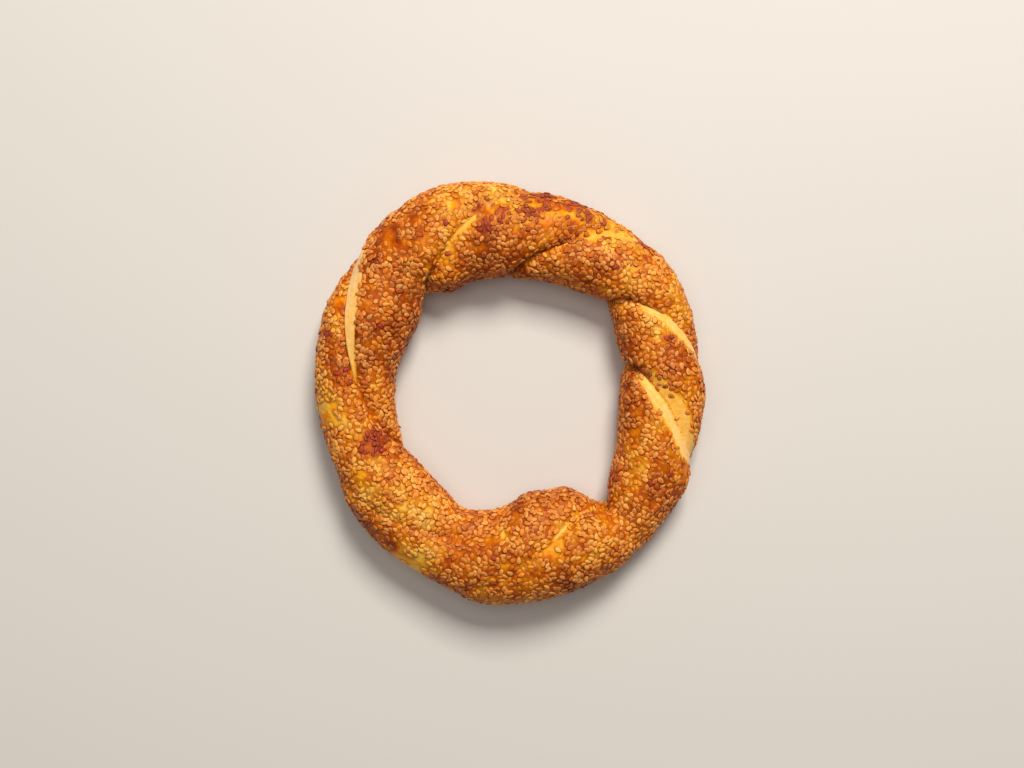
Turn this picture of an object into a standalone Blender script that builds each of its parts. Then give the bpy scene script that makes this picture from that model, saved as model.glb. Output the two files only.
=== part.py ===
"""A simit: two strands of bread dough twisted together, closed into a ring, baked flat and coated in sesame.

Run it with blender --background --python part.py, or from Blender's text editor.
Units are metres and +Z is up. The ring lies on Z = 0, with its hole round the Z axis.

A place on the crust is given by two angles in degrees. The ring angle turns anticlockwise from +X, seen
from above. The roll angle turns round the dough itself: 0 at the rim, 90 at the crest, 180 at the hole's
edge and 270 on the tray.
"""

import math
from collections import namedtuple

import bmesh
import bpy
import numpy as np
from mathutils import Matrix, Vector, noise

MM = 0.001

# The ring as seen from above: ring angle, radius of the hole, radius of the rim in mm
OUTLINE = (
    (0, 44.3, 78.4),
    (14, 45.9, 78.4),
    (30, 49.3, 80.9),
    (41, 51.4, 82.0),
    (60, 48.4, 80.3),
    (77, 46.2, 80.5),
    (91, 44.9, 83.2),
    (110, 47.1, 86.4),
    (120, 46.1, 85.0),
    (130, 50.0, 84.3),
    (143, 45.6, 81.5),
    (157, 45.1, 80.2),
    (168, 46.2, 78.1),
    (180, 46.3, 77.1),
    (204, 46.1, 76.8),
    (218, 45.8, 79.0),
    (236, 47.4, 80.2),
    (250, 50.4, 82.6),
    (262, 47.6, 84.8),
    (279, 40.0, 83.4),
    (292, 42.2, 82.8),
    (303, 46.2, 82.1),
    (310, 57.0, 81.8),
    (318, 52.8, 81.0),
    (333, 48.4, 80.2),
    (347, 44.9, 77.7),
)

# The seam between the strands winds seven times round the dough while it runs twice round the ring.
# A turn has the ring angles where the seam passes from the hole's edge over the crest to the rim, at rolls of
# SEAM_ROLLS degrees, and the groove's share of its full depth at the hole. Behind it (anticlockwise) and
# ahead of it (clockwise) the dough has torn from one roll to another, for some mm, and has risen to fill
# the groove by a share.
SEAM_ROLLS = (0, 45, 90, 135, 180)
Tear = namedtuple("Tear", "start end width risen")
Turn = namedtuple("Turn", "rings deep behind ahead")
SEAM_TURNS = (
    Turn((207, 195, 172.5, 147, 135), 0.6, Tear(86, 176, 2.4, 0.32), Tear(84, 184, 5.6, 1.0)),
    Turn((90, 81, 68, 56, 47), 1.0, Tear(92, 184, 1.2, 0.6), Tear(64, 180, 1.0, 0.68)),
    Turn((13, 8.7, -3.4, -16, -21.5), 1.0, Tear(74, 184, 6.6, 0.7), Tear(40, 184, 3.2, 1.0)),
    Turn((-88, -101, -121, -147, -157), 0.45, Tear(100, 150, 0.1, 0.3), Tear(98, 152, 0.3, 0.4)),
    Turn((-230.5, -236, -253.5, -270, -278), 1.0, Tear(60, 110, 0.2, 0.7), Tear(58, 114, 1.3, 0.92)),
    Turn((-318, -320.5, -329.5, -341, -352), 1.0, Tear(66, 172, 0.1, 0.5), Tear(62, 182, 1.3, 0.8)),
    Turn((-408, -414, -435, -460, -472), 1.0, Tear(60, 92, 0.2, 0.4), Tear(60, 94, 0.5, 0.7)),
)
RING_TURNS = 2

# The dough's section in mm
MEAN_HALF_WIDTH = 17.0
MEAN_HALF_HEIGHT = 14.6
HEIGHT_PER_WIDTH = 0.45
TRAY_CUT = 2.6
UNEVEN_DEPTH = 0.7
UNEVEN_SPAN = 26.0

# The groove along the seam in mm: a broad shoulder, and a lip that falls to the seam
SHOULDER_DEPTH = 1.5
SHOULDER_SPREAD = 6.0
SEAM_DEPTH_AT_RIM = 0.9
SEAM_DEPTH_AT_HOLE = 3.8
DEPTH_POWER = 1.5
LIP_SPREAD = 1.9
TEAR_SPREAD = 0.5
TEAR_FILL = 0.75
TEAR_FULLNESS = 0.7
SEAM_BLEND = 0.6
TRAY_SEAM_START = 1.4

# How finely the dough is faceted: rows of faces run along the strands, closer together at the seam
RING_STEPS = 114
STRAND_ROWS = 12
ROWS_TO_SEAM = 0.45

# One sesame seed in mm, and how many lie on the crust
SEED_LENGTH = 3.2
SEED_WIDTH = 2.0
SEED_THICKNESS = 1.3
SEED_SIDES = 6
SEED_BANDS = 3
SEED_TAPER = 0.5
SEED_COUNT = 190
SEED_SINK = 0.08
SEED_LOWEST_ROLL = -32.0
SEED_ROLL_SPAN = 244.0
SEED_TEAR_MARGIN = 0.9
# Steps of an even spread over a square, and the turn in degrees from one seed to the next
SPREAD_RING = 0.7548776662
SPREAD_ROLL = 0.5698402910
SEED_SPIN = 137.5
# How far apart in degrees the points are that give the crust's slope
FRAME_STEP = 0.4

CRUST_COLOUR = (0.46, 0.17, 0.035, 1.0)
CRUST_ROUGHNESS = 0.42


def clear_scene():
    for obj in list(bpy.data.objects):
        bpy.data.objects.remove(obj, do_unlink=True)


def through(x, knots, values):
    """A smooth curve through the knots, read at x."""
    slopes = np.gradient(values, knots)
    i = np.clip(np.searchsorted(knots, x) - 1, 0, len(knots) - 2)
    step = knots[i + 1] - knots[i]
    t = (x - knots[i]) / step
    rise = values[i + 1] - values[i]
    bend_in = slopes[i] * step - rise
    bend_out = rise - slopes[i + 1] * step
    return values[i] + t * rise + t * (1 - t) * ((1 - t) * bend_in + t * bend_out)


def outline(ring, column):
    """The hole's radius (column 1) or the rim's (column 2) in mm at these ring angles."""
    table = np.array(OUTLINE, float)
    knots = np.concatenate([table[:, 0] - 360, table[:, 0], table[:, 0] + 360])
    return through(np.mod(ring, 360), knots, np.tile(table[:, column], 3))


def seam_knots():
    """Where the seam passes: how far it has rolled and its ring angle, for all its turns and some to spare."""
    rolled, ring = [], []
    turns = len(SEAM_TURNS)
    for n in range(-1, turns + 3):
        lap = -360 * RING_TURNS * (n // turns)
        next_lap = -360 * RING_TURNS * ((n + 1) // turns)
        for roll, angle in zip(SEAM_ROLLS, SEAM_TURNS[n % turns].rings):
            rolled.append(360 * n + roll)
            ring.append(angle + lap)
        rolled.append(360 * n + 270)
        ring.append((ring[-1] + SEAM_TURNS[(n + 1) % turns].rings[0] + next_lap) / 2)
    return np.array(rolled, float), np.array(ring, float)


def seam_rolled(ring):
    """How far the seam has rolled when it passes these ring angles, which may run over two laps."""
    knots, angles = seam_knots()
    rolled = np.arange(knots[1], knots[-2])
    return np.interp(-np.asarray(ring, float), -through(rolled, knots, angles), rolled)


def bump(x, start, end):
    """0 at start and end, and 1 midway."""
    t = np.clip((x - start) / (end - start), 0, 1)
    return np.sin(math.pi * t) ** TEAR_FULLNESS


def seam_distances(ring, roll, hole, rim):
    """For each turn of the seam: how far clockwise of it in mm a place lies, and how far the seam has rolled."""
    knots, angles = seam_knots()
    radius = (hole + rim) / 2 + (rim - hole) / 2 * np.cos(np.radians(roll))
    rolled = np.mod(180 - roll + 90, 360) - 90
    for n, turn in enumerate(SEAM_TURNS):
        seam = through(rolled + 360 * n, knots, angles)
        ahead = through(rolled + 360 * n + 1, knots, angles)
        slant = np.abs(ahead - seam) * radius / ((rim - hole) / 2)
        clockwise = np.mod(seam - ring + 180, 360) - 180
        yield turn, np.radians(clockwise) * radius / np.sqrt(1 + slant**2), rolled


def groove(ring, roll, hole, rim):
    """How deep the crust lies under the round form, and the share of tear, at each place."""
    to_hole = ((1 - np.cos(np.radians(roll))) / 2) ** DEPTH_POWER
    depth, torn = np.zeros_like(roll), np.zeros_like(roll)
    for turn, distance, rolled in seam_distances(ring, roll, hole, rim):
        side = np.clip(0.5 + distance / SEAM_BLEND, 0, 1)
        spread, filled = 0, 0
        for tear, share in ((turn.behind, 1 - side), (turn.ahead, side)):
            open_here = bump(rolled, tear.start, tear.end)
            spread += share * tear.width * open_here
            filled += share * tear.risen * open_here
        deep = SEAM_DEPTH_AT_RIM + (SEAM_DEPTH_AT_HOLE * turn.deep - SEAM_DEPTH_AT_RIM) * to_hole
        deep *= 1 - TEAR_FILL * filled
        depth += SHOULDER_DEPTH * np.exp(-((distance / SHOULDER_SPREAD) ** 2))
        depth += deep * np.exp(-((distance / (LIP_SPREAD + TEAR_SPREAD * spread)) ** 2))
        torn = np.maximum(torn, np.clip((spread - np.abs(distance)) / SEED_TEAR_MARGIN + 1, 0, 1))
    return depth, torn


def dough(ring, roll):
    """Points on the crust in metres, as an array with three columns, and the share of tear there."""
    ring, roll = np.broadcast_arrays(np.asarray(ring, float), np.asarray(roll, float))
    hole, rim = outline(ring, 1), outline(ring, 2)
    half_width = (rim - hole) / 2
    half_height = MEAN_HALF_HEIGHT + HEIGHT_PER_WIDTH * (half_width - MEAN_HALF_WIDTH)
    depth, torn = groove(ring, roll, hole, rim)
    out, up = np.cos(np.radians(roll)), np.sin(np.radians(roll))
    across = (half_width - depth) * out
    height = half_height - TRAY_CUT + (half_height - depth) * up
    tray_seam = np.minimum(np.maximum(depth - TRAY_SEAM_START, 0), -height)
    height = np.where(height < 0, tray_seam, height)
    radius = (hole + rim) / 2 + across
    points = np.stack(
        [radius * np.cos(np.radians(ring)), radius * np.sin(np.radians(ring)), height], axis=-1
    )
    lift = np.array([noise.noise(Vector(p) / UNEVEN_SPAN) for p in points.reshape(-1, 3)])
    lift = UNEVEN_DEPTH * lift.reshape(height.shape) * np.clip(height / half_height, 0, 1)
    points[..., 0] += lift * out * np.cos(np.radians(ring))
    points[..., 1] += lift * out * np.sin(np.radians(ring))
    points[..., 2] += lift * np.clip(up, 0, 1)
    return points * MM, torn


def dough_grid():
    """Ring and roll angles of the skin's points: each row keeps its place between two passes of the seam."""
    t = np.arange(STRAND_ROWS) / STRAND_ROWS
    t = t - ROWS_TO_SEAM * np.sin(2 * math.pi * t) / (2 * math.pi)
    ring = -360 * np.arange(RING_STEPS)[:, None] / RING_STEPS
    one_pass = seam_rolled(ring)
    other_pass = seam_rolled(ring - 360) - 360 * (len(SEAM_TURNS) // RING_TURNS)
    first_strand = one_pass + (other_pass - one_pass) * t
    second_strand = other_pass + (one_pass + 360 - other_pass) * t
    return ring, 180 - np.hstack([first_strand, second_strand])


def make_dough():
    """The two fused strands as one closed skin. A lap turns the section half round, so the rows meet crosswise."""
    points, _ = dough(*dough_grid())
    shape = bmesh.new()
    grid = [[shape.verts.new(p) for p in row] for row in points]
    grid.append(grid[0][STRAND_ROWS:] + grid[0][:STRAND_ROWS])
    for here, there in zip(grid, grid[1:]):
        for j in range(2 * STRAND_ROWS):
            shape.faces.new((here[j - 1], there[j - 1], there[j], here[j]))
    bmesh.ops.recalc_face_normals(shape, faces=shape.faces)
    bmesh.ops.triangulate(shape, faces=shape.faces, quad_method="SHORT_EDGE")
    mesh = bpy.data.meshes.new("simit")
    shape.to_mesh(mesh)
    shape.free()
    obj = bpy.data.objects.new("simit", mesh)
    bpy.context.scene.collection.objects.link(obj)
    return obj


def crust_frames(ring, roll):
    """Places on the crust, the way along the ring there, the way out of the crust and the share of tear."""
    places, torn = dough(ring, roll)
    along = dough(ring + FRAME_STEP, roll)[0] - dough(ring - FRAME_STEP, roll)[0]
    around = dough(ring, roll + FRAME_STEP)[0] - dough(ring, roll - FRAME_STEP)[0]
    return places, along, np.cross(along, around), torn


def seed_mesh():
    """One flat, rounded seed, tapered towards +X."""
    shape = bmesh.new()
    bmesh.ops.create_uvsphere(shape, u_segments=SEED_SIDES, v_segments=SEED_BANDS, radius=0.5)
    for v in shape.verts:
        v.co.y *= 1 - SEED_TAPER * v.co.x
        v.co = Vector((v.co.x * SEED_LENGTH, v.co.y * SEED_WIDTH, v.co.z * SEED_THICKNESS)) * MM
    mesh = bpy.data.meshes.new("seed")
    shape.to_mesh(mesh)
    shape.free()
    return mesh


def scatter_seeds():
    """A collection of seeds spread evenly over the crust, clear of the pale tears and the tray."""
    seeds = bpy.data.collections.new("sesame")
    bpy.context.scene.collection.children.link(seeds)
    mesh = seed_mesh()
    index = np.arange(1, SEED_COUNT + 1)
    ring = 360 * np.mod(index * SPREAD_RING, 1)
    roll = SEED_LOWEST_ROLL + SEED_ROLL_SPAN * np.mod(index * SPREAD_ROLL, 1)
    places, alongs, normals, torn = crust_frames(ring, roll)
    for n in np.flatnonzero(torn == 0):
        normal = Vector(normals[n]).normalized()
        across = normal.cross(Vector(alongs[n])).normalized()
        turn = Matrix((across.cross(normal), across, normal)).transposed().to_4x4()
        spin = Matrix.Rotation(math.radians(SEED_SPIN * n), 4, "Z")
        sunk = Vector(places[n]) - normal * (SEED_SINK * SEED_THICKNESS * MM)
        obj = bpy.data.objects.new("seed", mesh)
        obj.matrix_world = Matrix.Translation(sunk) @ turn @ spin
        seeds.objects.link(obj)
    return seeds


def fuse(obj, seeds):
    """Joins the seeds to the dough in one Boolean, and removes their own objects."""
    joint = obj.modifiers.new("sesame", "BOOLEAN")
    joint.operation = "UNION"
    joint.operand_type = "COLLECTION"
    joint.collection = seeds
    joint.solver = "EXACT"
    bpy.context.view_layer.objects.active = obj
    bpy.ops.object.modifier_apply(modifier=joint.name)
    for seed in list(seeds.objects):
        bpy.data.objects.remove(seed, do_unlink=True)
    bpy.data.collections.remove(seeds)


def drop_scraps(obj):
    """Removes every body but the largest, such as a seed that misses the dough across a groove."""
    shape = bmesh.new()
    shape.from_mesh(obj.data)
    left, bodies = set(shape.verts), []
    while left:
        body, edge_of_body = set(), [left.pop()]
        while edge_of_body:
            v = edge_of_body.pop()
            body.add(v)
            edge_of_body += [w for e in v.link_edges if (w := e.other_vert(v)) in left]
            left.difference_update(edge_of_body)
        bodies.append(body)
    bodies.sort(key=len)
    scraps = [v for body in bodies[:-1] for v in body]
    bmesh.ops.delete(shape, geom=scraps, context="VERTS")
    shape.to_mesh(obj.data)
    shape.free()


def crust_material():
    """Browned crust with a dull glaze."""
    material = bpy.data.materials.new("crust")
    material.use_nodes = True
    shader = material.node_tree.nodes["Principled BSDF"]
    shader.inputs["Base Color"].default_value = CRUST_COLOUR
    shader.inputs["Roughness"].default_value = CRUST_ROUGHNESS
    shader.inputs["Metallic"].default_value = 0.0
    return material


def main():
    clear_scene()
    simit = make_dough()
    fuse(simit, scatter_seeds())
    drop_scraps(simit)
    simit.data.materials.clear()
    simit.data.materials.append(crust_material())
    simit.data.shade_smooth()


main()
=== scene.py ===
"""The looks of a simit: glazed crust, pale torn dough along the seam, and thousands of toasted sesame seeds.

The ring's form is worked out as the form of the solid that it replaces is, with finer detail along the seam.
A place on the crust is given by two angles in degrees. The ring angle turns anticlockwise from +X, seen from
above. The roll angle turns round the dough itself: 0 at the rim, 90 at the crest, 180 at the hole's edge and
270 on the tray.
"""

import math
from collections import namedtuple

import bpy
import numpy as np
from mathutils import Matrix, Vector, kdtree, noise


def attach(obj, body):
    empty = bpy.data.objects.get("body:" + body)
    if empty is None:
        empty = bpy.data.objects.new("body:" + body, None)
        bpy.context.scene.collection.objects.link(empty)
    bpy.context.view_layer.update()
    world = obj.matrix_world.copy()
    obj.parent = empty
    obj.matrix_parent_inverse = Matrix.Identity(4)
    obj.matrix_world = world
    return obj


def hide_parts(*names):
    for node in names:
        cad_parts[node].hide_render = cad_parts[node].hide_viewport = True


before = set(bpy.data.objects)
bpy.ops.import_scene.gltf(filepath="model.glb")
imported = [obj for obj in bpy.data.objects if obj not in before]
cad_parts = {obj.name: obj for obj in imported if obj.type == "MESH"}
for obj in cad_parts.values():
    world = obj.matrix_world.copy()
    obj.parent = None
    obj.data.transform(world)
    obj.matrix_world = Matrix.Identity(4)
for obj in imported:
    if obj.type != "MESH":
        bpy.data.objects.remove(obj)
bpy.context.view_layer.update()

MM = 0.001

# The ring as seen from above: ring angle, radius of the hole, radius of the rim in mm
OUTLINE = (
    (0, 44.3, 78.4),
    (14, 45.9, 78.4),
    (30, 49.3, 80.9),
    (41, 51.4, 82.0),
    (60, 48.4, 80.3),
    (77, 46.2, 80.5),
    (91, 44.9, 83.2),
    (110, 47.1, 86.4),
    (120, 46.1, 85.0),
    (130, 50.0, 84.3),
    (143, 45.6, 81.5),
    (157, 45.1, 80.2),
    (168, 46.2, 78.1),
    (180, 46.3, 77.1),
    (204, 46.1, 76.8),
    (218, 45.8, 79.0),
    (236, 47.4, 80.2),
    (250, 50.4, 82.6),
    (262, 47.6, 84.8),
    (279, 40.0, 83.4),
    (292, 42.2, 82.8),
    (303, 46.2, 82.1),
    (310, 57.0, 81.8),
    (318, 52.8, 81.0),
    (333, 48.4, 80.2),
    (347, 44.9, 77.7),
)

# The seam between the strands winds seven times round the dough while it runs twice round the ring. How far
# it has rolled counts from the hole's edge (0) over the crest (90) to the rim (180). A turn has these values:
# rings: the ring angles where the seam passes when it has rolled by each of SEAM_ROLLS
# deep: the groove's share of its full depth at the hole
# closed: how far the crust has closed over the groove between CLOSED_START and CLOSED_END
# crease: from where to where the seam is a dark crease, and how dark
# ridge: how far clockwise of the seam a ridge stands, in mm
# behind, ahead: how the dough has torn anticlockwise and clockwise of the seam
# A tear goes from start to end. It is some mm wide, fades into the crust over some more, and is so pale.
SEAM_ROLLS = (0, 45, 90, 135, 180)
Tear = namedtuple("Tear", "start end width fade pale")
Turn = namedtuple("Turn", "rings deep closed crease ridge behind ahead")
SEAM_TURNS = (
    Turn((207, 195, 173.5, 150.5, 137), 0.6, 0.0, (84, 176, 0.9), 7.4,
         Tear(86, 176, 2.0, 1.6, 0.15), Tear(80, 192, 8.0, 0.7, 1.0)),
    Turn((90, 81, 68, 56, 47), 1.0, 0.0, (5, 92, 0.8), 1.2,
         Tear(96, 186, 2.0, 3.4, 0.65), Tear(64, 184, 1.4, 3.2, 0.62)),
    Turn((13, 8.7, -3.4, -16, -21.5), 1.0, 0.0, (-8, 130, 0.5), 1.6,
         Tear(54, 197, 5.8, 2.6, 0.78), Tear(32, 197, 4.0, 2.2, 0.92)),
    Turn((-88, -101, -121, -147, -157), 0.45, 0.5, (100, 146, 0.5), 1.0,
         Tear(100, 150, 0.1, 0.6, 0.3), Tear(98, 152, 0.3, 1.6, 0.4)),
    Turn((-230.5, -236, -253.5, -270, -278), 1.0, 0.5, (-10, 58, 0.8), 0.7,
         Tear(60, 106, 0.2, 0.7, 0.5), Tear(58, 108, 1.0, 2.4, 0.68)),
    Turn((-318, -320.5, -329.5, -341, -352), 1.0, 0.0, (0, 112, 0.8), 1.0,
         Tear(66, 184, 0.4, 0.8, 0.6), Tear(66, 194, 3.0, 3.0, 0.9)),
    Turn((-408, -414, -435, -460, -472), 1.0, 0.75, (-5, 50, 0.8), 0.5,
         Tear(60, 86, 0.2, 0.8, 0.4), Tear(60, 87, 0.6, 1.4, 0.85)),
)
RING_TURNS = 2
CLOSED_START = 72
CLOSED_END = 176
# The whole turns that the seam makes round the dough between its two passes of a place
TURNS_BETWEEN_PASSES = 3

# The dough's section in mm
MEAN_HALF_WIDTH = 17.0
MEAN_HALF_HEIGHT = 14.6
HEIGHT_PER_WIDTH = 0.45
TRAY_CUT = 2.6
TRAY_GAP = 0.25
UNEVEN_DEPTH = 0.7
UNEVEN_SPAN = 26.0
LUMP_DEPTH = 0.3
LUMP_SPAN = 6.5

# The groove along the seam in mm: a broad shoulder, a lip that falls to the seam, and the narrow crease
SHOULDER_DEPTH = 1.5
SHOULDER_SPREAD = 6.0
SEAM_DEPTH_AT_RIM = 0.9
SEAM_DEPTH_AT_HOLE = 3.8
DEPTH_POWER = 1.5
LIP_SPREAD = 1.9
TEAR_SPREAD = 0.5
TEAR_FILL = 0.75
SEAM_BLEND = 0.6
TRAY_SEAM_START = 1.4
CREASE_DEPTH = 1.1
CREASE_SPREAD = 0.5
CREASE_MARK = 0.55
CREASE_FADE = 12.0
RIDGE_HEIGHT = 0.35
RIDGE_SPREAD = 0.8

# How quickly a tear opens, or a groove closes, from both its ends
SWELL_POWER = 0.55
# A tear's edge is ragged by this share, with so many waves to a turn of the dough, which shift from turn to
# turn. It is less pale where it starts, and has pores beside the seam if it is wider than the last number.
TEAR_RAGGED = 0.13
RAGGED_WAVES = (6, 13)
RAGGED_SHIFT = 90
TEAR_OPENING = 2
LEAST_OPENING = 0.01
PALE_AT_START = 0.7
PALER_AT_END = 0.3
PORE_PLACE = -0.4
PORE_SPREAD = 1.1
PORE_TEAR_WIDTH = 2

# How finely the dough is modelled: rows run along the strands, closer together at the seam
RING_STEPS = 640
STRAND_ROWS = 78
ROWS_TO_SEAM = 0.45
# The sheet's edges are joined where their points lie within this many metres
MERGE_DISTANCE = 1e-6

# The glaze lies over the seeds, thick in some places. Glaze, small lumps, tears and the underside leave the
# crust bare.
MEAN_GLAZE = 0.42
GLAZE_SWING = 1.1
GLAZE_SPAN = 8.0
GLAZE_IN_PATCH = 0.5
BARE_UNDER_GLAZE = 0.55
BARE_LUMPS = 0.3
BARE_SPAN = 3.2
BARE_IN_TEAR = 1.4
BARE_TEAR_POWER = 1.3
BARE_UNDERSIDE = 0.6
UNDERSIDE_FACING = -0.9
BARE_CREASE = 0.5
SEEDED_POWER = 3

# One sesame seed in mm. Each is a little larger or smaller, and the ones that settle last are smallest.
SEED_LENGTH = 3.1
SEED_WIDTH = 1.95
SEED_THICKNESS = 0.85
SEED_SIDES = 10
SEED_RINGS = 4
SEED_TAPER = 0.32
SEED_ROUNDING = 0.12
TIP_START = 0.9
TIP_DRAW = 0.1
SEED_RISE = 0.08
GLAZE_DEPTH = 0.26
SUNK_SPREAD = 0.3
SEED_GAP = 1.5
SEED_OVERLAP = 0.8
SEED_TILT = 8.0
STANDING_SHARE = 0.05
STANDING_TILT = 2.5
SEED_CANDIDATES = 110000
SEED_TURNS = 8
SEED_SCALES = (1.06, 0.86)
SEED_VARIES = 0.05
SEED_LIMITS = (0.88, 1.12)
SEED_DRAW = 12
# A seed is taken as a few beads in a row, so that it can be kept off its neighbours
SEED_BEADS = (-0.29, 0.0, 0.29)
BEAD_WIDTH = 0.84
# Shade is painted on the crust round a seed, up to so far from its beads' centres in mm
GAP_REACH = 1.6
GAP_FADE = 0.6
# A seed is toasted more where the crust is browner, and where painted shade lies on the hole's wall. Each
# kind has its name, and its least and most toast.
MEAN_TOAST = 0.27
TOAST_PER_BAKE = 0.35
TOAST_SPREAD = 0.18
SEED_KINDS = (
    ("sesame_golden", -math.inf, 0.22),
    ("sesame_tan", 0.22, 0.42),
    ("sesame_toasted", 0.42, 0.78),
    ("sesame_dark", 0.78, math.inf),
)

# Patches fade out below this height in mm, and towards their own edges
PATCH_RISE = 7.0
PATCH_EDGE = 3
# Smooth patches with few seeds. Each has x, y and radius in mm, from the ring's centre, and its strength.
SMOOTH_PATCHES = (
    (-72.0, -8.0, 6.0, 0.95),
    (-66.0, -10.0, 5.0, 0.75),
    (-57.6, -33.2, 3.2, 0.85),
    (-42.0, -45.0, 3.4, 0.8),
    (-67.0, 36.0, 3.0, 0.8),
    (-47.0, 62.8, 5.0, 0.9),
    (-44.0, -64.0, 5.5, 1.0),
    (-37.0, -68.5, 6.5, 1.0),
    (-4.0, 77.0, 5.0, 0.6),
    (16.4, 69.0, 3.6, 0.85),
    (17.0, -61.0, 8.0, 0.64),
    (-2.0, -66.0, 5.0, 0.6),
    (50.0, -16.0, 4.0, 0.75),
    (50.0, -28.0, 4.5, 0.7),
    (51.0, -38.0, 3.5, 0.7),
    (71.0, 36.0, 4.0, 0.7),
    (44.0, 63.0, 6.0, 0.7),
    (22.0, 70.0, 11.0, 0.42),
)
# The same for dark seeds, which lie among lighter ones
DARK_SEED_PATCHES = (
    (-6.0, 71.0, 8.0, 0.82),
    (10.0, 72.0, 9.0, 0.85),
    (26.0, 71.0, 9.0, 0.8),
    (39.0, 65.0, 6.0, 0.7),
    (50.0, 58.0, 7.0, 0.42),
    (-53.5, -20.5, 5.2, 1.3),
    (62.5, 23.0, 3.2, 0.6),
    (-71.0, 22.5, 2.6, 0.7),
    (-65.5, 6.0, 5.0, 0.4),
    (-21.0, 52.0, 5.0, 0.45),
    (42.0, -34.5, 3.0, 0.5),
    (10.5, -69.0, 3.5, 0.45),
    (-8.5, -76.0, 4.0, 0.4),
    (-49.0, -42.0, 5.0, 0.35),
    (62.0, -36.0, 12.0, 0.2),
    (68.0, 4.0, 9.0, 0.2),
)
# The same for a paler (below 0) or browner (above 0) bake
BAKE_PATCHES = (
    (-71.5, -4.0, 6.0, -0.35),
    (-66.0, -11.0, 6.0, -0.4),
    (-49.0, 22.0, 13.0, 0.46),
    (-53.5, -20.5, 5.0, 0.35),
    (-44.0, -33.0, 12.0, -0.2),
    (-34.0, -46.0, 9.0, -0.25),
    (-38.0, -66.0, 9.0, -0.3),
    (-60.0, -52.0, 7.0, 0.3),
    (-22.0, -63.0, 8.0, 0.15),
    (16.0, -61.0, 9.0, -0.22),
    (24.0, -74.0, 9.0, 0.25),
    (22.0, -52.0, 8.0, -0.2),
    (43.0, -45.0, 7.0, -0.15),
    (52.0, -24.0, 8.0, -0.2),
    (58.0, -44.0, 12.0, 0.22),
    (66.0, 10.0, 8.0, 0.1),
    (58.0, 27.0, 7.0, -0.35),
    (52.0, 46.0, 9.0, -0.2),
    (34.0, 44.0, 8.0, 0.2),
    (44.0, 63.0, 8.0, -0.4),
    (16.5, 69.0, 5.0, -0.5),
    (-4.0, 52.0, 14.0, 0.22),
    (8.0, 70.0, 8.0, -0.15),
    (24.0, 71.0, 8.0, -0.25),
    (-4.0, 79.0, 7.0, -0.15),
    (-20.0, 66.0, 7.0, -0.2),
    (-46.0, 62.0, 7.0, 0.12),
    (-42.0, 38.0, 9.0, 0.2),
    (-67.0, 26.0, 5.0, -0.35),
)
# The bake is uneven in broad and small lumps, by so much and over so many mm. Shade is painted on the hole's
# wall, inside a radius in mm, and the underside is browner, below a height in mm.
MEAN_BAKE = 0.54
BAKE_LUMPS = ((0.35, 15.0), (0.4, 4.5))
WALL_RADIUS = 56
WALL_FADE = 8
# Painted shade on the hole's wall
WALL_PAINTED_SHADE = 0.12
UNDERSIDE_HEIGHT = 3
UNDERSIDE_BAKE = 0.22


def shade(red, green, blue):
    """A colour as the eye reads it on a screen, made linear for a shader."""
    return tuple(((c + 0.055) / 1.055) ** 2.4 for c in (red, green, blue)) + (1.0,)


# The crust from the palest bake (0) to the darkest (1)
BAKES = (
    (0.0, shade(0.98, 0.76, 0.32)),
    (0.25, shade(0.97, 0.65, 0.10)),
    (0.5, shade(0.89, 0.48, 0.03)),
    (0.75, shade(0.72, 0.31, 0.02)),
    (1.0, shade(0.48, 0.16, 0.03)),
)
# The dough that shows in a tear, from where it fades into the crust (0) to its palest (1)
DOUGHS = (
    (0.0, shade(0.84, 0.46, 0.03)),
    (0.3, shade(0.90, 0.58, 0.10)),
    (0.6, shade(0.96, 0.70, 0.25)),
    (0.8, shade(1.0, 0.78, 0.44)),
    (1.0, shade(1.0, 0.84, 0.66)),
)
# Each kind of seed: its face, shaded side and tip, and how much the glaze gives it the crust's colour. The
# tip colour also paints shade round the rim.
SEED_FINISHES = {
    "sesame_golden": (shade(0.98, 0.73, 0.40), shade(0.83, 0.46, 0.12), shade(0.58, 0.26, 0.04), 0.42),
    "sesame_tan": (shade(0.91, 0.58, 0.26), shade(0.75, 0.37, 0.08), shade(0.51, 0.20, 0.03), 0.42),
    "sesame_toasted": (shade(0.80, 0.40, 0.15), shade(0.61, 0.26, 0.05), shade(0.42, 0.15, 0.03), 0.4),
    "sesame_dark": (shade(0.64, 0.21, 0.15), shade(0.45, 0.11, 0.07), shade(0.27, 0.06, 0.04), 0.1),
}
# Painted highlight on the seeds' edges
SEED_EDGE_HIGHLIGHT = shade(1.0, 0.77, 0.43)
PORE_BROWN = shade(0.45, 0.27, 0.08)
# Painted shade in the seam's crease
CREASE_PAINTED_SHADE = shade(0.34, 0.14, 0.03)
# Painted shade on the crust round the seeds
GAP_PAINTED_SHADE = shade(0.60, 0.25, 0.02)

# The crust's mottle, painted shade round the seeds and in the crease, and relief, with widths and depths in
# mm.
# A pair of numbers is where a mark starts to show and where it shows in full.
CRUST_MOTTLE = 0.9
CRUST_MOTTLE_SPAN = 3.0
GAP_SHADE_SHARE = 0.6
TEAR_MOTTLE = 0.5
TEAR_MOTTLE_SPAN = 1.6
TEAR_SHOWS = (0.05, 0.5)
PORE_SPAN = 1.5
PORE_EDGE = (0.32, 0.14)
PORE_DARKNESS = 0.8
CREASE_MOTTLE_SPAN = 4.0
CREASE_SHOWS = (0.3, 0.9)
CREASE_DARKNESS = 0.8
HUMP_SPAN = 2.6
HUMP_SOFTNESS = 0.4
HUMP_SHARE = 0.6
WRINKLE_SPAN = 2.2
TEAR_SMOOTHS = (0.1, 0.6)
TEAR_SMOOTHING = 0.8
CRUST_RELIEF = 0.5
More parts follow.
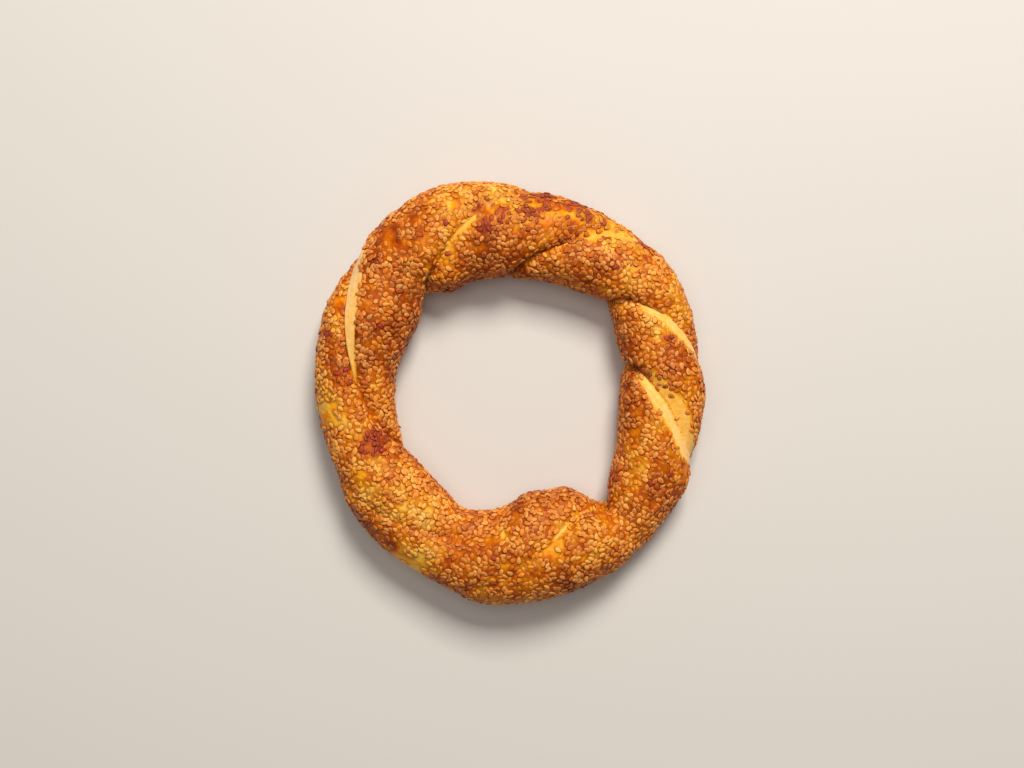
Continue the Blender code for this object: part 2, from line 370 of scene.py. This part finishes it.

# The seeds' mottle, painted highlight near their edges, painted shade round their rims, and relief, with
# widths and depths in mm
SEED_MOTTLE = 0.8
SUNK_GLAZING = 1.2
SEED_SHADING = 0.5
EDGE_LIGHTENS = (0.1, 0.35)
EDGE_FADES = (0.4, 0.75)
EDGE_LIGHT = 1.1
TIP_SHOWS = (0.6, 1.1)
TIP_DARKNESS = 0.4
RIM_SHADE_SHOWS = (0.5, 0.95)
RIM_SHADE_STRENGTH = 0.65
SPOT_SPAN = 0.9
SPOT_SHOWS = (0.5, 0.8)
SPOT_DARKNESS = 0.25
GRAIN_SPAN = 0.5
SEED_RELIEF = 0.1

# The studio in metres and watts. Both lamps face the middle of the ring.
Lamp = namedtuple("Lamp", "place size power colour")
LAMPS = (
    Lamp((0.25, 0.85, 1.05), 0.5, 20.5, (1.0, 0.96, 0.91)),
    Lamp((-0.20, 0.10, 1.3), 0.9, 4.0, (1.0, 0.97, 0.95)),
)
DAYLIGHT = (1.0, 0.98, 0.96, 1.0)
DAYLIGHT_STRENGTH = 0.15
FLOOR_SIZE = 6
FLOOR_PAINT = shade(0.84, 0.82, 0.79)

# The camera in mm: the point that it looks straight down at, and the photo's scale at that height
CAMERA_AIM = (1.2, 3.2, 13.0)
MM_PER_PIXEL = 0.40
PIXELS_ACROSS = 1024
LENS = 50.0
SENSOR_WIDTH = 36.0


def through(x, knots, values):
    """A smooth curve through the knots, read at x."""
    slopes = np.gradient(values, knots)
    i = np.clip(np.searchsorted(knots, x) - 1, 0, len(knots) - 2)
    step = knots[i + 1] - knots[i]
    t = (x - knots[i]) / step
    rise = values[i + 1] - values[i]
    bend_in = slopes[i] * step - rise
    bend_out = rise - slopes[i + 1] * step
    return values[i] + t * rise + t * (1 - t) * ((1 - t) * bend_in + t * bend_out)


def outline(ring, column):
    """The hole's radius (column 1) or the rim's (column 2) in mm at these ring angles."""
    table = np.array(OUTLINE, float)
    knots = np.concatenate([table[:, 0] - 360, table[:, 0], table[:, 0] + 360])
    return through(np.mod(ring, 360), knots, np.tile(table[:, column], 3))


def seam_knots():
    """How far the seam has rolled and its ring angle there, for all its turns and some to spare."""
    rolled, ring = [], []
    turns = len(SEAM_TURNS)
    for n in range(-1, turns + 3):
        lap = -360 * RING_TURNS * (n // turns)
        next_lap = -360 * RING_TURNS * ((n + 1) // turns)
        for roll, angle in zip(SEAM_ROLLS, SEAM_TURNS[n % turns].rings):
            rolled.append(360 * n + roll)
            ring.append(angle + lap)
        rolled.append(360 * n + 270)
        ring.append((ring[-1] + SEAM_TURNS[(n + 1) % turns].rings[0] + next_lap) / 2)
    return np.array(rolled, float), np.array(ring, float)


def seam_rolled(ring):
    """How far the seam has rolled when it passes these ring angles, which may run over two laps."""
    knots, angles = seam_knots()
    rolled = np.arange(knots[1], knots[-2])
    return np.interp(-np.asarray(ring, float), -through(rolled, knots, angles), rolled)


def bump(x, start, end):
    """0 at start and end, and 1 midway."""
    t = np.clip((x - start) / (end - start), 0, 1)
    return np.sin(math.pi * t) ** SWELL_POWER


def seam_distances(ring, roll, hole, rim):
    """Each turn of the seam, how far clockwise of it in mm a place lies, and how far it has rolled there."""
    knots, angles = seam_knots()
    radius = (hole + rim) / 2 + (rim - hole) / 2 * np.cos(np.radians(roll))
    rolled = np.mod(180 - roll + 90, 360) - 90
    for n, turn in enumerate(SEAM_TURNS):
        seam = through(rolled + 360 * n, knots, angles)
        ahead = through(rolled + 360 * n + 1, knots, angles)
        slant = np.abs(ahead - seam) * radius / ((rim - hole) / 2)
        clockwise = np.mod(seam - ring + 180, 360) - 180
        yield turn, np.radians(clockwise) * radius / np.sqrt(1 + slant**2), rolled


def groove(ring, roll, hole, rim):
    """How deep the crust lies under the round form, and the shares of tear, crease and pores there."""
    to_hole = ((1 - np.cos(np.radians(roll))) / 2) ** DEPTH_POWER
    long_wave, short_wave = RAGGED_WAVES
    depth, torn, crease, pores = (np.zeros_like(roll) for _ in range(4))
    for n, (turn, distance, rolled) in enumerate(seam_distances(ring, roll, hole, rim)):
        waves = np.sin(np.radians(rolled * long_wave + RAGGED_SHIFT * n))
        ragged = 1 + TEAR_RAGGED * waves * np.sin(np.radians(rolled * short_wave))
        side = np.clip(0.5 + distance / SEAM_BLEND, 0, 1)
        pale, spread, filled = 0, 0, 0
        for tear, share in ((turn.behind, 1 - side), (turn.ahead, side)):
            open_here = bump(rolled, tear.start, tear.end) * ragged
            fade = tear.fade * np.clip(open_here * TEAR_OPENING, LEAST_OPENING, 1)
            inside = np.clip(1 - (np.abs(distance) - tear.width * open_here) / fade, 0, 1)
            way_along = np.clip((rolled - tear.start) / (tear.end - tear.start), 0, 1)
            paler = PALE_AT_START + PALER_AT_END * way_along
            pale += share * tear.pale * paler * inside * np.clip(open_here * TEAR_OPENING, 0, 1)
            spread += share * tear.width * open_here
            filled += share * tear.pale * np.clip(open_here, 0, 1)
        deep = SEAM_DEPTH_AT_RIM + (SEAM_DEPTH_AT_HOLE * turn.deep - SEAM_DEPTH_AT_RIM) * to_hole
        open_share = 1 - turn.closed * bump(rolled, CLOSED_START, CLOSED_END)
        deep *= (1 - TEAR_FILL * filled) * open_share
        depth += SHOULDER_DEPTH * open_share * np.exp(-((distance / SHOULDER_SPREAD) ** 2))
        depth += deep * np.exp(-((distance / (LIP_SPREAD + TEAR_SPREAD * spread)) ** 2))
        start, end, strength = turn.crease
        lined = strength * np.clip(np.minimum(rolled - start, end - rolled) / CREASE_FADE, 0, 1)
        depth += CREASE_DEPTH * lined * np.exp(-((distance / CREASE_SPREAD) ** 2))
        depth -= RIDGE_HEIGHT * filled * np.exp(-(((distance - turn.ridge) / RIDGE_SPREAD) ** 2))
        torn = np.maximum(torn, pale)
        crease = np.maximum(crease, lined * np.exp(-((distance / CREASE_MARK) ** 2)))
        porous = np.exp(-(((distance - PORE_PLACE) / PORE_SPREAD) ** 2))
        pores = np.maximum(pores, pale * porous * (spread > PORE_TEAR_WIDTH))
    return depth, torn, crease, pores


def lumps(points, span):
    """Smooth noise between about -1 and 1 at points in mm."""
    values = [noise.noise(Vector(p) / span) for p in points.reshape(-1, 3)]
    return np.array(values).reshape(points.shape[:-1])


def dough(ring, roll):
    """Points on the crust in mm, as an array with three columns, and what else the groove gives there."""
    ring, roll = np.broadcast_arrays(np.asarray(ring, float), np.asarray(roll, float))
    hole, rim = outline(ring, 1), outline(ring, 2)
    half_width = (rim - hole) / 2
    half_height = MEAN_HALF_HEIGHT + HEIGHT_PER_WIDTH * (half_width - MEAN_HALF_WIDTH)
    depth, torn, crease, pores = groove(ring, roll, hole, rim)
    out, up = np.cos(np.radians(roll)), np.sin(np.radians(roll))
    across = (half_width - depth) * out
    height = half_height - TRAY_CUT + (half_height - depth) * up
    tray_seam = np.minimum(np.maximum(depth - TRAY_SEAM_START, 0), TRAY_GAP - height)
    height = np.where(height < TRAY_GAP, TRAY_GAP + tray_seam, height)
    radius = (hole + rim) / 2 + across
    points = np.stack(
        [radius * np.cos(np.radians(ring)), radius * np.sin(np.radians(ring)), height], axis=-1
    )
    lift = UNEVEN_DEPTH * lumps(points, UNEVEN_SPAN) + LUMP_DEPTH * lumps(points, LUMP_SPAN) * (1 - torn)
    lift = lift * np.clip(height / half_height, 0, 1)
    points[..., 0] += lift * out * np.cos(np.radians(ring))
    points[..., 1] += lift * out * np.sin(np.radians(ring))
    points[..., 2] += lift * np.clip(up, 0, 1)
    return points, torn, crease, pores


def patches(points, spots):
    """How strongly these spots mark each point of the side that shows from above."""
    mark = np.zeros(points.shape[:-1])
    shown = np.clip(points[..., 2] / PATCH_RISE, 0, 1)
    for x, y, radius, strength in spots:
        away = np.hypot(points[..., 0] - x, points[..., 1] - y) / radius
        share = strength * np.exp(-(away**PATCH_EDGE)) * shown
        mark = np.where(np.abs(share) > np.abs(mark), share, mark)
    return mark


def bake(points):
    """How dark the crust is, from 0 to 1: baked unevenly and browner on the underside, with painted shade
    added on the hole's wall.
    """
    inwards = np.clip((WALL_RADIUS - np.hypot(points[..., 0], points[..., 1])) / WALL_FADE, 0, 1)
    below = np.clip(1 - points[..., 2] / UNDERSIDE_HEIGHT, 0, 1)
    uneven = sum(share * lumps(points, span) for share, span in BAKE_LUMPS)
    # The wall term is painted shade on the hole's wall
    browned_and_wall_shade = MEAN_BAKE + uneven + WALL_PAINTED_SHADE * inwards + UNDERSIDE_BAKE * below
    return browned_and_wall_shade + patches(points, BAKE_PATCHES)


def glaze(points):
    """How thickly the glaze covers the seeds, from 0 to 1. It is thick and smooth in patches."""
    spread = MEAN_GLAZE + GLAZE_SWING * lumps(points, GLAZE_SPAN)
    return np.clip(spread + GLAZE_IN_PATCH * patches(points, SMOOTH_PATCHES), 0, 1)


def deselect():
    bpy.ops.object.select_all(action="DESELECT")


def mark(piece, name, values):
    """Keeps one number for each of the piece's points under this name, for its material."""
    layer = piece.data.attributes.new(name, "FLOAT", "POINT")
    layer.data.foreach_set("value", np.asarray(values, np.float32).ravel())


def dough_grid():
    """Ring and roll angles of the skin's points: each row keeps its place between two passes of the seam."""
    t = np.arange(STRAND_ROWS) / STRAND_ROWS
    t = t - ROWS_TO_SEAM * np.sin(2 * math.pi * t) / (2 * math.pi)
    ring = -360 * np.arange(RING_STEPS + 1) / RING_STEPS
    one_pass = seam_rolled(ring)
    other_pass = seam_rolled(ring - 360) - TURNS_BETWEEN_PASSES * 360
    t = t[:, None]
    first_strand = one_pass + (other_pass - one_pass) * t
    second_strand = other_pass + (one_pass + 360 - other_pass) * t
    return ring, 180 - np.vstack([first_strand, second_strand, one_pass[None] + 360])


def closeness(points, beads):
    """1 at points under or beside a seed, falling to 0 where the crust is bare."""
    tree = kdtree.KDTree(len(beads))
    for n, bead in enumerate(beads):
        tree.insert(bead, n)
    tree.balance()
    flat = points.reshape(-1, 3)
    away = np.array([tree.find(p)[2] for p in flat]).reshape(points.shape[:-1])
    return np.clip((GAP_REACH - away) / GAP_FADE, 0, 1)


def make_dough(beads):
    """A sheet rolled up along the seam into the twisted ring, with its edges joined."""
    deselect()
    bpy.ops.mesh.primitive_grid_add(x_subdivisions=RING_STEPS, y_subdivisions=2 * STRAND_ROWS)
    piece = bpy.context.object
    piece.name = "dough"
    points, torn, crease, pores = dough(*dough_grid())
    piece.data.vertices.foreach_set("co", (points * MM).ravel())
    mark(piece, "torn", torn)
    mark(piece, "crease", crease)
    mark(piece, "pores", pores)
    mark(piece, "bake", bake(points))
    # Where shade is painted on the crust round the seeds
    mark(piece, "gap", closeness(points, beads))
    bpy.ops.object.mode_set(mode="EDIT")
    bpy.ops.mesh.select_all(action="SELECT")
    bpy.ops.mesh.remove_doubles(threshold=MERGE_DISTANCE)
    bpy.ops.mesh.normals_make_consistent(inside=False)
    bpy.ops.object.mode_set(mode="OBJECT")
    bpy.ops.object.shade_smooth()
    return piece


def seed_shape():
    """One seed, flat, round at one end and drawn to a tip towards +X.

    Gives its points in mm, its triangles, and for each point how near the rim (0 to 1) and the tip (-1 to 1)
    it lies.
    """
    deselect()
    bpy.ops.mesh.primitive_uv_sphere_add(segments=SEED_SIDES, ring_count=SEED_RINGS, radius=0.5)
    seed = bpy.context.object
    bpy.ops.object.mode_set(mode="EDIT")
    bpy.ops.mesh.select_all(action="SELECT")
    bpy.ops.mesh.quads_convert_to_tris()
    bpy.ops.object.mode_set(mode="OBJECT")
    points = np.array([v.co[:] for v in seed.data.vertices])
    triangles = np.array([f.vertices[:] for f in seed.data.polygons])
    bpy.data.objects.remove(seed)
    along = points[:, 0] * 2
    points[:, 1] *= 1 - SEED_TAPER * along - SEED_ROUNDING * along**2
    points[:, 0] *= 1 + TIP_DRAW * (along > TIP_START)
    rim = np.clip(1 - np.abs(points[:, 2]) * 2, 0, 1)
    return points * (SEED_LENGTH, SEED_WIDTH, SEED_THICKNESS), triangles, rim, along


def crust_frames(ring, roll):
    """Places on the crust, the ways along the ring and out of it, and the shares of tear and crease."""
    step = 0.5
    places, torn, crease, _ = dough(ring, roll)
    along = dough(ring + step, roll)[0] - dough(ring - step, roll)[0]
    around = dough(ring, roll + step)[0] - dough(ring, roll - step)[0]
    out = np.cross(along, around)
    along /= np.linalg.norm(along, axis=1, keepdims=True)
    out /= np.linalg.norm(out, axis=1, keepdims=True)
    return places, along, out, torn, crease


def near(cells, place, size):
    """The numbers of the seeds in the cells round a place."""
    i, j, k = (place // size).astype(int)
    found = []
    for a in (i - 1, i, i + 1):
        for b in (j - 1, j, j + 1):
            for c in (k - 1, k, k + 1):
                found += cells.get((a, b, c), ())
    return found


def settle_seeds(draw):
    """Lays the seeds on the crust one by one, each turned to overlap its neighbours least.

    Gives their places, the ways that they point and that their faces look, their scales and their beads.
    """
    ring, roll = draw.uniform(0, 360, SEED_CANDIDATES), draw.uniform(0, 360, SEED_CANDIDATES)
    places, along, out, torn, crease = crust_frames(ring, roll)
    bare = glaze(places) * BARE_UNDER_GLAZE + BARE_LUMPS * lumps(places, BARE_SPAN)
    bare = np.maximum(bare, BARE_UNDERSIDE * (out[:, 2] < UNDERSIDE_FACING))
    bare = np.maximum(bare, torn**BARE_TEAR_POWER * BARE_IN_TEAR)
    bare = np.clip(np.maximum(bare, patches(places, SMOOTH_PATCHES)), 0, 1)
    seeded = draw.uniform(0, 1, SEED_CANDIDATES) < (1 - bare) ** SEEDED_POWER
    keep = (crease < BARE_CREASE) & seeded
    places, along, out = places[keep], along[keep], out[keep]
    across = np.cross(out, along)
    along = np.cross(across, out)
    count = len(places)
    angles = draw.uniform(0, math.pi, (count, SEED_TURNS))
    scales = np.linspace(*SEED_SCALES, count) * draw.normal(1, SEED_VARIES, count).clip(*SEED_LIMITS)
    cells, lying, ways, beads = {}, [], [], []
    size = SEED_LENGTH + SEED_OVERLAP
    for n, place in enumerate(places):
        around = near(cells, place, size)
        if around:
            gaps = np.linalg.norm(np.array([places[lying[m]] for m in around]) - place, axis=1)
            if gaps.min() < SEED_GAP:
                continue
        way = np.cos(angles[n])[:, None] * along[n] + np.sin(angles[n])[:, None] * across[n]
        own = place + way[:, None] * (np.array(SEED_BEADS) * SEED_LENGTH * scales[n])[None, :, None]
        best = 0
        if around:
            others = np.concatenate([beads[m] for m in around])
            apart = np.linalg.norm(own[:, :, None] - others, axis=-1)
            worst = (BEAD_WIDTH * SEED_WIDTH * scales[n] - apart).max(axis=(1, 2))
            best = int(worst.argmin())
            if worst[best] > SEED_OVERLAP:
                continue
        cells.setdefault(tuple((place // size).astype(int)), []).append(len(lying))
        lying.append(n)
        ways.append(way[best])
        beads.append(own[best])
    lying = np.array(lying)
    return places[lying], np.array(ways), out[lying], scales[lying], np.concatenate(beads)


def make_seeds(draw, places, ways, out, scales):
    """The seeds in four pieces by how darkly they are toasted."""
    count = len(places)
    ways = ways * draw.choice((-1, 1), count)[:, None]
    tilt = np.radians(SEED_TILT) * draw.standard_normal((count, 2))
    standing = draw.uniform(0, 1, count) < STANDING_SHARE
    tilt[standing] *= STANDING_TILT
    across = np.cross(out, ways)
    ways = ways + out * tilt[:, :1]
    out = out - across * tilt[:, 1:]
    ways /= np.linalg.norm(ways, axis=1, keepdims=True)
    across = np.cross(out, ways)
    across /= np.linalg.norm(across, axis=1, keepdims=True)
    out = np.cross(ways, across)
    scale = scales[:, None] * draw.normal(1, SEED_VARIES, (count, 3)).clip(*SEED_LIMITS)
    points, triangles, rim, along = seed_shape()
    shaped = points[None] * scale[:, None]
    turned = shaped[..., :1] * ways[:, None]
    turned += shaped[..., 1:2] * across[:, None]
    turned += shaped[..., 2:] * out[:, None]
    sunk = (glaze(places) + SUNK_SPREAD * draw.standard_normal(count)).clip(0, 1)
    rise = SEED_RISE * draw.normal(1, 1, count) - GLAZE_DEPTH * sunk
    placed = places[:, None] + (out * rise[:, None])[:, None] + turned
    placed[..., 2] = np.maximum(placed[..., 2], 0)
    baked_and_wall_shade = bake(places)
    toast = MEAN_TOAST + TOAST_PER_BAKE * (baked_and_wall_shade - MEAN_BAKE) + patches(places, DARK_SEED_PATCHES)
    toast += TOAST_SPREAD * draw.standard_normal(count)
    for name, low, high in SEED_KINDS:
        kind = (toast >= low) & (toast < high)
        number = int(kind.sum())
        piece = joined(name, placed[kind], triangles)
        mark(piece, "rim", np.tile(rim, number))
        mark(piece, "tip", np.tile(along, number))
        mark(piece, "tone", np.repeat(draw.uniform(0, 1, number), len(points)))
        mark(piece, "bake", np.repeat(baked_and_wall_shade[kind], len(points)))
        mark(piece, "sunk", np.repeat(sunk[kind], len(points)))
        yield piece


def joined(name, copies, triangles):
    """One mesh of many copies of a shape, whose points in mm are given for each copy."""
    count, size = copies.shape[:2]
    faces = (triangles[None] + size * np.arange(count)[:, None, None]).reshape(-1, 3)
    mesh = bpy.data.meshes.new(name)
    mesh.vertices.add(count * size)
    mesh.vertices.foreach_set("co", (copies * MM).ravel())
    mesh.loops.add(faces.size)
    mesh.loops.foreach_set("vertex_index", faces.ravel())
    mesh.polygons.add(len(faces))
    mesh.polygons.foreach_set("loop_start", np.arange(len(faces)) * 3)
    mesh.update(calc_edges=True)
    mesh.shade_smooth()
    piece = bpy.data.objects.new(name, mesh)
    bpy.context.scene.collection.objects.link(piece)
    return piece


class Value:
    """A socket in a material. Arithmetic on it adds Math nodes."""

    def __init__(self, finish, socket):
        self.finish = finish
        self.socket = socket

    def math(self, operation, *values):
        return self.finish.node("ShaderNodeMath", {"operation": operation}, dict(enumerate(values)))

    def __add__(self, other):
        return self.math("ADD", self, other)

    def __sub__(self, other):
        return self.math("SUBTRACT", self, other)

    def __rsub__(self, other):
        return self.math("SUBTRACT", other, self)

    def __mul__(self, other):
        return self.math("MULTIPLY", self, other)

    __radd__ = __add__
    __rmul__ = __mul__

    def over(self, low, high):
        """0 below low and 1 above high, or the other way round if high is the lower."""
        return self.finish.node(
            "ShaderNodeMapRange",
            {"interpolation_type": "SMOOTHSTEP"},
            {"Value": self, "From Min": low, "From Max": high},
        )


class Finish:
    """A material with one Principled shader."""

    def __init__(self, name, **uniform):
        self.material = bpy.data.materials.new(name)
        self.material.use_nodes = True
        self.nodes = self.material.node_tree.nodes
        self.links = self.material.node_tree.links
        self.shader = self.nodes["Principled BSDF"]
        for socket, value in uniform.items():
            self.shader.inputs[socket.replace("_", " ")].default_value = value

    def feed(self, socket, value):
        """Links a value to a socket, or sets the socket to a number or a colour."""
        if isinstance(value, Value):
            self.links.new(value.socket, socket)
        else:
            socket.default_value = value

    def set_stops(self, elements, stops):
        while len(elements) < len(stops):
            elements.new(1.0)
        for element, (position, colour) in zip(elements, stops):
            element.position = position
            element.color = colour

    def node(self, kind, settings=None, sockets=None, output=0):
        """Adds a node with these settings, then feeds its sockets with values or links."""
        node = self.nodes.new(kind)
        for name, value in (settings or {}).items():
            if name == "stops":
                self.set_stops(node.color_ramp.elements, value)
            else:
                setattr(node, name, value)
        for key, value in (sockets or {}).items():
            self.feed(node.inputs[key], value)
        return Value(self, node.outputs[output])

    def marked(self, name):
        """The number kept on the mesh under this name."""
        return self.node("ShaderNodeAttribute", {"attribute_name": name}, output="Fac")

    def place(self):
        """The place on the piece, in metres."""
        return self.node("ShaderNodeTexCoord", output="Object")

    def noise(self, span, detail=2.0, roughness=0.5):
        """Noise from 0 to 1 with lumps about as wide as span in mm."""
        return self.node(
            "ShaderNodeTexNoise",
            None,
            {"Vector": self.place(), "Scale": 1 / (span * MM), "Detail": detail, "Roughness": roughness},
        )

    def cells(self, span, settings=None, **sockets):
        """The distance from the middles of cells about as wide as span in mm."""
        sockets = {"Vector": self.place(), "Scale": 1 / (span * MM), **sockets}
        return self.node("ShaderNodeTexVoronoi", settings, sockets)

    def mix(self, share, first, second):
        """The second colour over the first by this share."""
        return self.node("ShaderNodeMix", {"data_type": "RGBA"}, {0: share, 6: first, 7: second}, output=2)

    def ramp(self, value, stops):
        """The colour that these stops give for a value from 0 to 1."""
        return self.node("ShaderNodeValToRGB", {"stops": stops}, {"Fac": value})

    def relief(self, height, depth):
        """The surface raised by height, from 0 to 1, times depth in mm."""
        normal = self.node("ShaderNodeBump", None, {"Height": height, "Distance": depth * MM})
        self.feed(self.shader.inputs["Normal"], normal)

    def colour(self, value):
        self.feed(self.shader.inputs["Base Color"], value)


def baked_colour(finish, mottle):
    """The crust's colour for the bake, with painted shade on the hole's wall, that is kept on the mesh,
    mottled by this much.
    """
    spots = (finish.noise(CRUST_MOTTLE_SPAN, detail=4.0, roughness=0.6) - 0.5) * mottle
    return finish.ramp(finish.marked("bake") + spots, BAKES)


def crust_finish():
    """Glazed crust with painted shade round the seeds and in the crease, cream where the dough has torn."""
    finish = Finish("crust", Roughness=0.38, Specular_IOR_Level=0.09, Coat_Weight=0.03, Coat_Roughness=0.2)
    torn, crease, gap = finish.marked("torn"), finish.marked("crease"), finish.marked("gap")
    crust = baked_colour(finish, CRUST_MOTTLE)
    # Painted shade on the crust round the seeds
    crust = finish.mix(gap * GAP_SHADE_SHARE, crust, GAP_PAINTED_SHADE)
    torn = torn + (finish.noise(TEAR_MOTTLE_SPAN, detail=3.0) - 0.5) * TEAR_MOTTLE
    dough_colour = finish.ramp(torn, DOUGHS)
    pores = finish.cells(PORE_SPAN).over(*PORE_EDGE) * finish.marked("pores")
    dough_colour = finish.mix(pores * PORE_DARKNESS, dough_colour, PORE_BROWN)
    crust = finish.mix(torn.over(*TEAR_SHOWS), crust, dough_colour)
    crease = crease * (0.5 + finish.noise(CREASE_MOTTLE_SPAN))
    # Painted shade in the seam's crease
    finish.colour(finish.mix(crease.over(*CREASE_SHOWS) * CREASE_DARKNESS, crust, CREASE_PAINTED_SHADE))
    humps = finish.cells(HUMP_SPAN, {"feature": "SMOOTH_F1"}, Smoothness=HUMP_SOFTNESS)
    rough = 1 - torn.over(*TEAR_SMOOTHS) * TEAR_SMOOTHING
    finish.relief((finish.noise(WRINKLE_SPAN) - humps * HUMP_SHARE) * rough, CRUST_RELIEF)
    return finish.material


def seed_finish(name, face, side, tip, glazing):
    """A toasted seed under the glaze: lighter on its flat face, with a painted highlight near its edge and
    painted shade round its rim, and darker at its tip.
    """
    finish = Finish(name, Roughness=0.34, Specular_IOR_Level=0.10, Coat_Weight=0.04, Coat_Roughness=0.2)
    tone, rim = finish.marked("tone"), finish.marked("rim")
    glaze_share = (1 + finish.marked("sunk") * SUNK_GLAZING) * glazing
    colour = finish.mix(glaze_share, face, baked_colour(finish, SEED_MOTTLE))
    colour = finish.mix(tone * SEED_SHADING, colour, side)
    # Painted highlight on a ring near each seed's edge
    lit_edge = (rim.over(*EDGE_LIGHTENS) - rim.over(*EDGE_FADES)) * tone
    colour = finish.mix(lit_edge * glazing * EDGE_LIGHT, colour, SEED_EDGE_HIGHLIGHT)
    colour = finish.mix(finish.marked("tip").over(*TIP_SHOWS) * TIP_DARKNESS, colour, tip)
    # Painted shade round the seed's rim, where it meets the crust, in the tip colour
    colour = finish.mix(rim.over(*RIM_SHADE_SHOWS) * RIM_SHADE_STRENGTH, colour, tip)
    spots = finish.noise(SPOT_SPAN).over(*SPOT_SHOWS)
    finish.colour(finish.mix(spots * SPOT_DARKNESS, colour, side))
    finish.relief(finish.noise(GRAIN_SPAN), SEED_RELIEF)
    return finish.material


def make_simit():
    """The crust and its seeds. Where the seeds lie is settled first, as shade is painted on the crust round
    them.
    """
    draw = np.random.default_rng(SEED_DRAW)
    *lying, beads = settle_seeds(draw)
    crust = make_dough(beads)
    crust.data.materials.append(crust_finish())
    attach(crust, "root")
    for piece in make_seeds(draw, *lying):
        piece.data.materials.append(seed_finish(piece.name, *SEED_FINISHES[piece.name]))
        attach(piece, "root")
    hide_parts("simit")


def make_studio():
    """A pale floor, a soft light beyond the top of the ring, a weak one overhead, and light all round."""
    deselect()
    bpy.ops.mesh.primitive_plane_add(size=FLOOR_SIZE)
    floor = bpy.context.object
    floor.name = "floor"
    paint = Finish("pale_floor", Roughness=0.8)
    paint.colour(FLOOR_PAINT)
    floor.data.materials.append(paint.material)
    for lamp in LAMPS:
        softbox = bpy.data.lights.new("softbox", "AREA")
        softbox.size = lamp.size
        softbox.energy = lamp.power
        softbox.color = lamp.colour
        light = bpy.data.objects.new("softbox", softbox)
        light.location = lamp.place
        light.rotation_euler = Vector(lamp.place).to_track_quat("Z", "Y").to_euler()
        bpy.context.scene.collection.objects.link(light)
    world = bpy.data.worlds.new("daylight")
    world.use_nodes = True
    sky = world.node_tree.nodes["Background"]
    sky.inputs["Color"].default_value = DAYLIGHT
    sky.inputs["Strength"].default_value = DAYLIGHT_STRENGTH
    bpy.context.scene.world = world
    bpy.context.scene.view_settings.view_transform = "Standard"


def make_camera():
    """Looks straight down, as the photo does, with the photo's scale at the height of the dough's middle."""
    lens = bpy.data.cameras.new("camera")
    lens.lens = LENS
    lens.sensor_width = SENSOR_WIDTH
    x, y, middle = CAMERA_AIM
    distance = MM_PER_PIXEL * PIXELS_ACROSS * lens.lens / lens.sensor_width
    camera = bpy.data.objects.new("camera", lens)
    camera.location = Vector((x, y, middle + distance)) * MM
    bpy.context.scene.collection.objects.link(camera)
    bpy.context.scene.camera = camera


make_simit()
make_studio()
make_camera()
